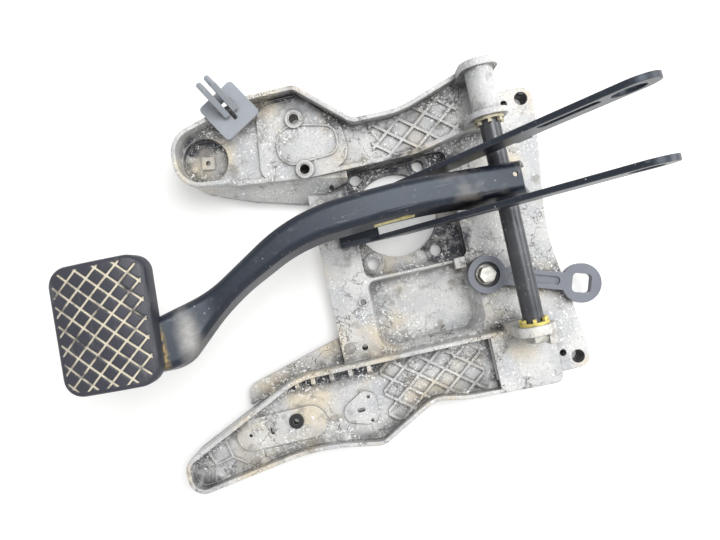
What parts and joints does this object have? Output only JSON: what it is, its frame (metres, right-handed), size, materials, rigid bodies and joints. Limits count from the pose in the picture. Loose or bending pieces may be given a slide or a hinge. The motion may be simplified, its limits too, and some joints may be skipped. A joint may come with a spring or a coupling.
{
  "type": "brake pedal",
  "caption": "Car brake pedal: curved channel arm with a grooved rubber pad, swinging on a die-cast two-legged bracket with a support fork and link lever.",
  "frame": {"origin": "centre of the booster opening on the mounting face", "axes": "+X from the pad towards the pivot, +Y along the pivot bolt, +Z towards the driver"},
  "size_m": [0.3496, 0.2814, 0.1676],
  "materials": {
    "casting": "as cast, oxidised",
    "black_coat": "satin electro-coat",
    "tube_coat": "gloss coat",
    "plate_steel": "satin",
    "pad_rubber": "moulded",
    "bush_plastic": "satin",
    "zinc": "zinc plated",
    "link_grey": "satin",
    "clip_plastic": "moulded",
    "grommet_rubber": "moulded",
    "insert_steel": "plain"
  },
  "bodies": {
    "root": {"bracket": "casting", "lower_bush": "bush_plastic", "upper_bush": "bush_plastic", "pivot_bolt": "zinc", "support_fork": "black_coat", "fork_bolts": "zinc", "fork_washers": "zinc", "link_lever": "link_grey", "link_washer": "zinc", "link_bolt": "zinc", "harness_clip": "clip_plastic", "leg_grommet": "grommet_rubber", "boss_inserts": "insert_steel", "locating_dowel": "insert_steel"},
    "pedal": {"pedal_arm": "black_coat", "hub_tube": "tube_coat", "pad_plate": "plate_steel", "pedal_pad": "pad_rubber"}
  },
  "joints": [
    {"name": "pedal_swing", "type": "hinge", "parent": "root", "child": "pedal", "pos_m": [0.071, 0, 0.06], "axis": [0, -1, 0], "range_deg": [0, 15]}
  ]
}
